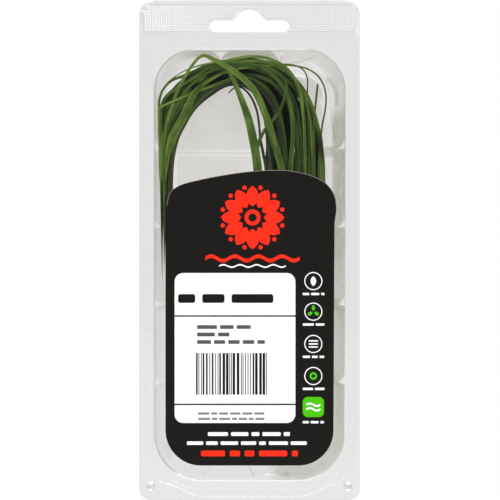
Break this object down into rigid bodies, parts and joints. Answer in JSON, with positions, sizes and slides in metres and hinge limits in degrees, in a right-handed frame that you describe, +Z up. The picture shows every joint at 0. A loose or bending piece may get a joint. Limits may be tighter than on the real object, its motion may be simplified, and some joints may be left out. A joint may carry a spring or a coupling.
{
  "type": "hanging clear pack of cut garlic chives",
  "caption": "Clear hinged hang pack with a drafted tray, a shallow lid, a hang slot, a wide front label and a folded bunch of cut garlic chives inside.",
  "frame": {"origin": "crown of the hang slot's hump, midway between the tray's sheet and the lid's sheet", "axes": "+Z up as the pack hangs, front with the label towards -Y, +X to the right in the front view"},
  "size_m": [0.088, 0.0229, 0.2],
  "materials": {
    "clear_sheet": "clear thermoformed sheet, glossy, faintly grey green where it is seen edge on",
    "label_film": "satin printed film, near black with a white panel and red, green and white print, white back",
    "chive_leaf": "fresh flat leaves, mid to dark green with a soft waxy sheen, fine lengthwise veins and darker bruised strands"
  },
  "bodies": {
    "back_half": {"tray": "clear_sheet", "chives_layer_1": "chive_leaf", "chives_layer_2": "chive_leaf", "chives_layer_3": "chive_leaf", "chives_layer_4": "chive_leaf", "chives_layer_5": "chive_leaf"},
    "front_half": {"lid": "clear_sheet", "label": "label_film"}
  },
  "joints": [
    {"name": "lid_fold", "type": "hinge", "parent": "back_half", "child": "front_half", "pos_m": [0, 0, 0.00315], "axis": [-1, 0, 0], "range_deg": [0, 180]}
  ]
}
